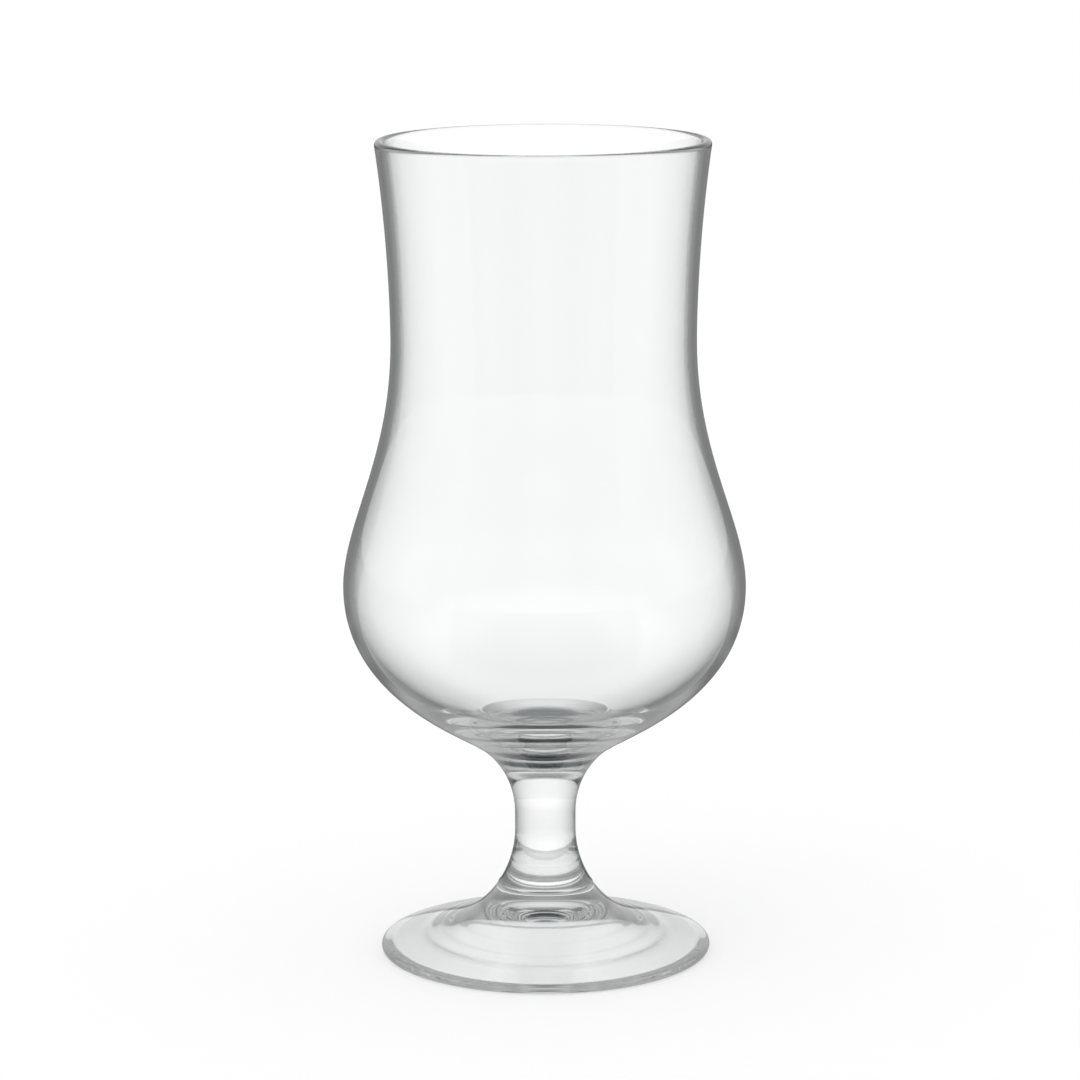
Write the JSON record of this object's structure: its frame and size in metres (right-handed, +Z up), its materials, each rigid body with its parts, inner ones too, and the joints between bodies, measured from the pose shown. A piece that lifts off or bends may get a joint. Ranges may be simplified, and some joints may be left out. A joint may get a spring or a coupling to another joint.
{
  "type": "hurricane glass",
  "caption": "Clear stemmed cocktail glass with a flared rim, pinched waist, round belly, short flared stem and hollow round foot.",
  "frame": {"origin": "centre of the foot's resting plane, on the table", "axes": "+Z up along the glass's axis, through the mouth; X and Y lie in the table and the shape is round, so they have no fixed side"},
  "size_m": [0.0882, 0.0882, 0.18],
  "materials": {
    "clear_glass": "clear colourless soda-lime glass, fire-polished, very faintly green where it is thick"
  },
  "bodies": {
    "root": {"bowl": "clear_glass", "stem": "clear_glass", "foot": "clear_glass"}
  },
  "joints": []
}
